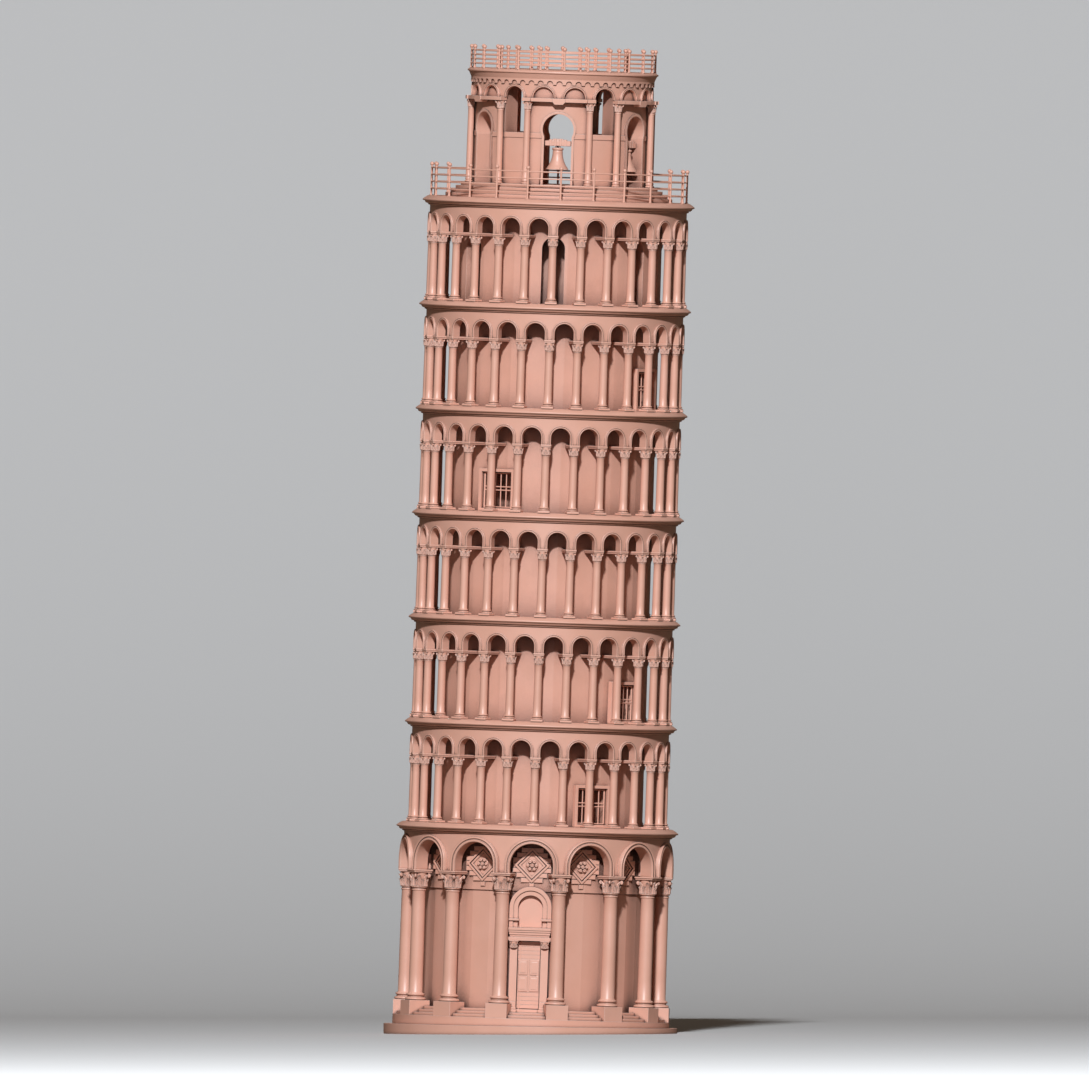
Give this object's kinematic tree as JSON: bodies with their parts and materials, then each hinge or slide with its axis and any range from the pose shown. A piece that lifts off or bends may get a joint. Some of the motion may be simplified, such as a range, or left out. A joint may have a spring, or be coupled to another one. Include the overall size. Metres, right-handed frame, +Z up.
{
  "type": "miniature landmark model",
  "caption": "Leaning round bell tower in miniature: arcaded storeys round a core, belfry with swinging bells, hinged door and barred gates, on a round base.",
  "frame": {"origin": "middle of the base plate's underside, where the tower's axis meets the ground", "axes": "+Z up from the ground; the door looks along -Y and the tower leans towards +X"},
  "size_m": [0.1245, 0.1176, 0.3959],
  "materials": {
    "cast_columns": "satin cast salmon-pink body with dark recesses and pale edges",
    "cast_arcades": "satin cast salmon-pink body with dark recesses and pale edges",
    "cast_cornices": "satin cast salmon-pink body with dark recesses and pale edges",
    "cast_walls": "satin cast salmon-pink body with dark recesses and pale edges",
    "cast_rails": "satin cast salmon-pink body with dark recesses and pale edges",
    "cast_bells": "satin cast salmon-pink body with dark recesses and pale edges",
    "cast_gates": "satin cast salmon-pink body with dark recesses and pale edges",
    "cast_ornament": "satin cast salmon-pink body with dark recesses and pale edges"
  },
  "bodies": {
    "tower": {"base_plate": "cast_cornices", "podium": "cast_cornices", "ground_steps": "cast_cornices", "pedestals": "cast_cornices", "ground_core": "cast_walls", "ashlar_blocks": "cast_ornament", "lozenges": "cast_ornament", "rosettes": "cast_ornament", "ground_columns": "cast_columns", "ground_capitals": "cast_columns", "ground_arcade": "cast_arcades", "portal_frame": "cast_ornament", "portal_lintel": "cast_ornament", "portal_arch": "cast_ornament", "cornice_1": "cast_cornices", "cornice_2": "cast_cornices", "cornice_3": "cast_cornices", "cornice_4": "cast_cornices", "cornice_5": "cast_cornices", "cornice_6": "cast_cornices", "cornice_7": "cast_cornices", "gallery_1_core": "cast_walls", "gallery_2_core": "cast_walls", "gallery_3_core": "cast_walls", "gallery_4_core": "cast_walls", "gallery_5_core": "cast_walls", "gallery_6_core": "cast_walls", "gallery_1_columns": "cast_columns", "gallery_2_columns": "cast_columns", "gallery_3_columns": "cast_columns", "gallery_4_columns": "cast_columns", "gallery_5_columns": "cast_columns", "gallery_6_columns": "cast_columns", "gallery_1_arcade": "cast_arcades", "gallery_2_arcade": "cast_arcades", "gallery_3_arcade": "cast_arcades", "gallery_4_arcade": "cast_arcades", "gallery_5_arcade": "cast_arcades", "gallery_6_arcade": "cast_arcades", "gate_frames": "cast_gates", "belfry_steps": "cast_cornices", "belfry_wall": "cast_walls", "belfry_columns": "cast_columns", "belfry_beams": "cast_columns", "belfry_arcade": "cast_arcades", "corbel_table": "cast_arcades", "roof_slab": "cast_cornices", "lower_railing": "cast_rails", "upper_railing": "cast_rails"},
    "door": {"portal_door": "cast_ornament"},
    "gate_1": {"gate_1": "cast_gates"},
    "gate_2": {"gate_2": "cast_gates"},
    "gate_4": {"gate_4": "cast_gates"},
    "gate_5": {"gate_5": "cast_gates"},
    "bell_front": {"headstock_front": "cast_bells", "bell_front": "cast_bells"},
    "clapper_front": {"clapper_front": "cast_bells"},
    "bell_right": {"headstock_right": "cast_bells", "bell_right": "cast_bells"},
    "clapper_right": {"clapper_right": "cast_bells"}
  },
  "joints": [
    {"name": "door_swing", "type": "hinge", "parent": "tower", "child": "door", "pos_m": [-0.00457, -0.04515, 0.01492], "axis": [0.034, 0, 0.9994], "range_deg": [0, 85]},
    {"name": "gate_1_swing", "type": "hinge", "parent": "tower", "child": "gate_1", "pos_m": [0.01865, -0.03869, 0.09074], "axis": [0.034, 0, 0.9994], "range_deg": [0, 90]},
    {"name": "gate_2_swing", "type": "hinge", "parent": "tower", "child": "gate_2", "pos_m": [0.0323, -0.03109, 0.13206], "axis": [0.034, 0, 0.9994], "range_deg": [0, 90]},
    {"name": "gate_4_swing", "type": "hinge", "parent": "tower", "child": "gate_4", "pos_m": [-0.01829, -0.03286, 0.21735], "axis": [0.034, 0, 0.9994], "range_deg": [0, 90]},
    {"name": "gate_5_swing", "type": "hinge", "parent": "tower", "child": "gate_5", "pos_m": [0.04185, -0.02539, 0.25708], "axis": [0.034, 0, 0.9994], "range_deg": [0, 90]},
    {"name": "bell_front_swing", "type": "hinge", "parent": "tower", "child": "bell_front", "pos_m": [0.01106, -0.03098, 0.35669], "axis": [0.9988, -0.0349, -0.034], "range_deg": [-35, 35]},
    {"name": "clapper_front_swing", "type": "hinge", "parent": "bell_front", "child": "clapper_front", "pos_m": [0.01092, -0.03098, 0.35244], "axis": [0.9988, -0.0349, -0.034], "range_deg": [-16, 16]},
    {"name": "bell_right_swing", "type": "hinge", "parent": "tower", "child": "bell_right", "pos_m": [0.03842, -0.01643, 0.35576], "axis": [0.5296, 0.848, -0.018], "range_deg": [-35, 35]},
    {"name": "clapper_right_swing", "type": "hinge", "parent": "bell_right", "child": "clapper_right", "pos_m": [0.03827, -0.01643, 0.35151], "axis": [0.5296, 0.848, -0.018], "range_deg": [-16, 16]}
  ]
}
